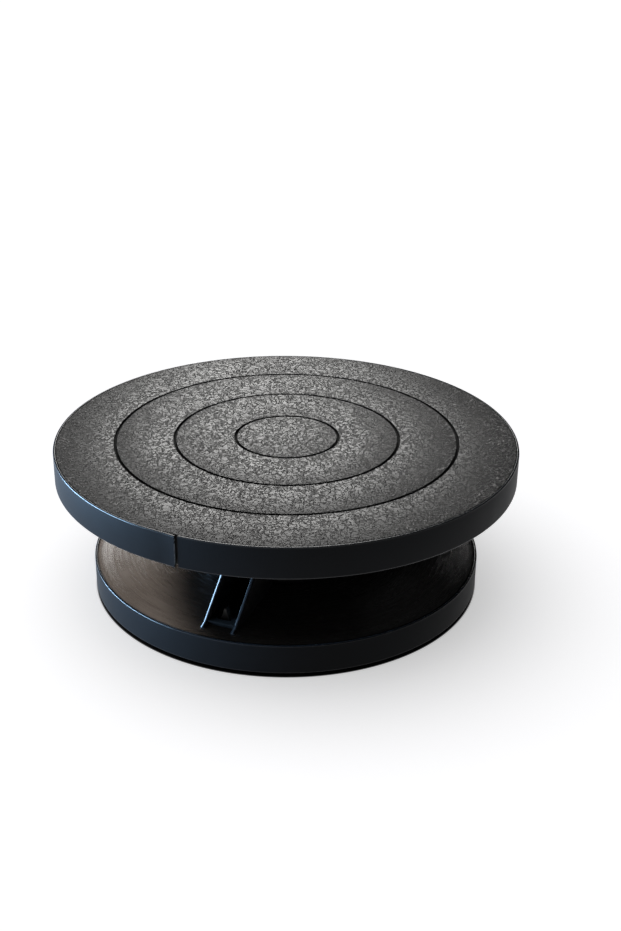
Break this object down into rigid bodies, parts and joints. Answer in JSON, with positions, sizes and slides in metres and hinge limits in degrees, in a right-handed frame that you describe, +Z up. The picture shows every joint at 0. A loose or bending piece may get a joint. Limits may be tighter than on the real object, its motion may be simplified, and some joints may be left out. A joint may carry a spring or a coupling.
{
  "type": "sculpting turntable",
  "caption": "Low round banding wheel: a grained turning head with three centring rings spins on a ball bearing over a smaller round base with spider-arm pedestal.",
  "frame": {"origin": "centre of the footprint on the table, under the spin axis", "axes": "+Z up along the spin axis, -Y towards the viewer, +X to the viewer's right"},
  "size_m": [0.15, 0.15, 0.05],
  "materials": {
    "head_plastic": "fine pebble-grained black moulding",
    "band_plastic": "smooth matt blue-black edge band",
    "black_plastic": "smooth black moulding with fine turned rings",
    "bearing_nylon": "natural nylon",
    "bearing_steel": "ground and polished",
    "zinc_steel": "bright zinc plated",
    "foot_rubber": "matt black rubber"
  },
  "bodies": {
    "base": {"base_disc": "black_plastic", "base_band": "band_plastic", "pedestal": "black_plastic", "lower_race": "bearing_steel", "upper_bush": "bearing_nylon", "lower_bush": "bearing_nylon", "pedestal_screw_1": "zinc_steel", "pedestal_screw_2": "zinc_steel", "pedestal_screw_3": "zinc_steel", "foot_1": "foot_rubber", "foot_2": "foot_rubber", "foot_3": "foot_rubber", "foot_4": "foot_rubber"},
    "cage": {"ball_cage": "bearing_nylon", "ball_01": "bearing_steel", "ball_02": "bearing_steel", "ball_03": "bearing_steel", "ball_04": "bearing_steel", "ball_05": "bearing_steel", "ball_06": "bearing_steel", "ball_07": "bearing_steel", "ball_08": "bearing_steel", "ball_09": "bearing_steel", "ball_10": "bearing_steel"},
    "head": {"head_disc": "head_plastic", "head_band": "band_plastic", "spindle": "zinc_steel", "upper_race": "bearing_steel", "flange_screw_1": "zinc_steel", "flange_screw_2": "zinc_steel", "flange_screw_3": "zinc_steel", "flange_screw_4": "zinc_steel", "retaining_washer": "zinc_steel", "retaining_screw": "zinc_steel"}
  },
  "joints": [
    {"name": "head_spin", "type": "hinge", "parent": "base", "child": "head", "pos_m": [0, 0, 0.04], "axis": [0, 0, 1], "continuous": true},
    {"name": "cage_spin", "type": "hinge", "parent": "base", "child": "cage", "pos_m": [0, 0, 0.04], "axis": [0, 0, 1], "continuous": true}
  ],
  "couplings": [
    {"joint": "cage_spin", "follows": "head_spin", "ratio": 0.5}
  ]
}
